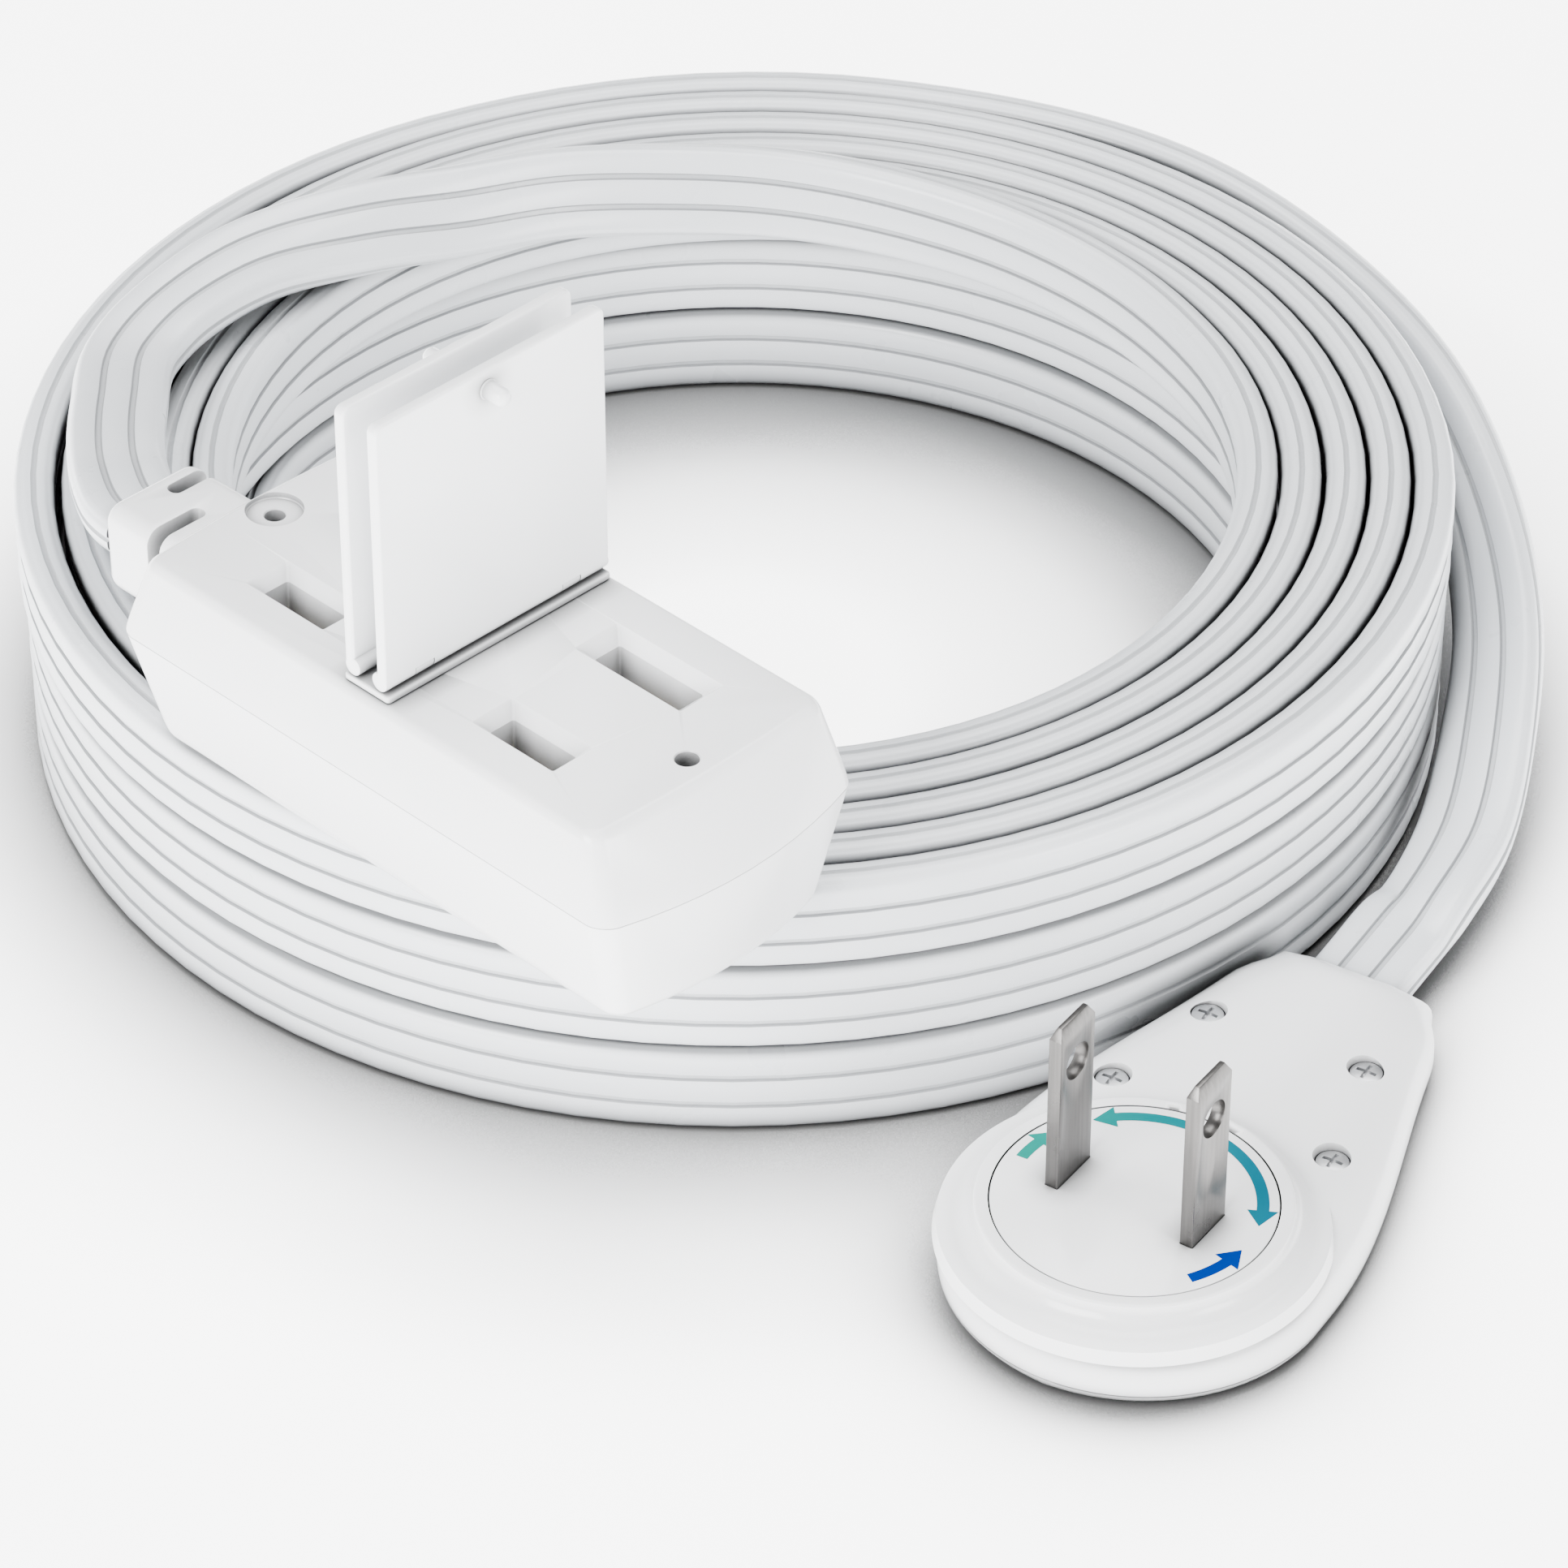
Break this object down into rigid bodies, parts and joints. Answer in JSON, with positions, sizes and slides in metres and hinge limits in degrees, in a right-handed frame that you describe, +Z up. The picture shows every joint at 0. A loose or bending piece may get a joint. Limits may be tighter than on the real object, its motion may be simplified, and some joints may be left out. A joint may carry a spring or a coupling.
{
  "type": "extension cord",
  "caption": "Flat white household extension cord, coiled, with a low outlet block under flip-up covers and a flat plug whose round blade disc turns freely.",
  "frame": {"origin": "on the floor, below the middle of the box around the outlet block and the plug, the cord left out", "axes": "+Z up off the floor; +X to the right along the longer side of the box around block and plug, from the block towards the plug; +Y away from the viewer, towards the coil"},
  "size_m": [0.1349, 0.161, 0.0718],
  "materials": {
    "white_gloss_shell": "moulded white plastic, semi-gloss",
    "white_cover": "moulded white plastic, semi-gloss",
    "cord_jacket": "extruded white PVC jacket, satin sheen",
    "nickel_blade": "nickel-plated brass, fine draw marks",
    "steel": "zinc-plated steel",
    "brass": "stamped spring brass",
    "copper": "bare copper"
  },
  "bodies": {
    "block": {"block_upper_shell": "white_gloss_shell", "block_lower_shell": "white_gloss_shell", "hinge_strip": "white_gloss_shell", "strain_relief": "white_gloss_shell", "plug_upper_housing": "white_gloss_shell", "plug_lower_housing": "white_gloss_shell", "bus_bar_neutral": "brass", "bus_bar_line": "brass", "clip_left_neutral": "brass", "clip_left_line": "brass", "clip_right_neutral": "brass", "clip_right_line": "brass", "wiper_inner": "brass", "wiper_outer": "brass", "block_conductor_neutral": "copper", "block_conductor_line": "copper", "plug_conductor_neutral": "copper", "plug_conductor_line": "copper", "hinge_pin_left": "steel", "hinge_pin_right": "steel", "block_screw_left": "steel", "block_screw_right": "steel", "plug_screw_1": "steel", "plug_screw_2": "steel", "plug_screw_3": "steel", "plug_screw_4": "steel", "cord_coil": "cord_jacket", "cord_block_lead": "cord_jacket", "cord_plug_lead": "cord_jacket"},
    "cover_left": {"cover_left": "white_cover"},
    "cover_right": {"cover_right": "white_cover"},
    "rotor": {"plug_rotor": "white_gloss_shell", "blade_line": "nickel_blade", "blade_neutral": "nickel_blade", "slip_ring_inner": "copper", "slip_ring_outer": "copper"}
  },
  "joints": [
    {"name": "cover_left_hinge", "type": "hinge", "parent": "block", "child": "cover_left", "pos_m": [-0.0245, 0.00658, 0.04735], "axis": [-0.7051, -0.7091, 0], "range_deg": [0, 90]},
    {"name": "cover_right_hinge", "type": "hinge", "parent": "block", "child": "cover_right", "pos_m": [-0.0223, 0.0044, 0.04735], "axis": [0.7051, 0.7091, 0], "range_deg": [0, 90]},
    {"name": "rotor_spin", "type": "hinge", "parent": "block", "child": "rotor", "pos_m": [0.02906, -0.02215, 0.0092], "axis": [0, 0, 1], "continuous": true}
  ]
}
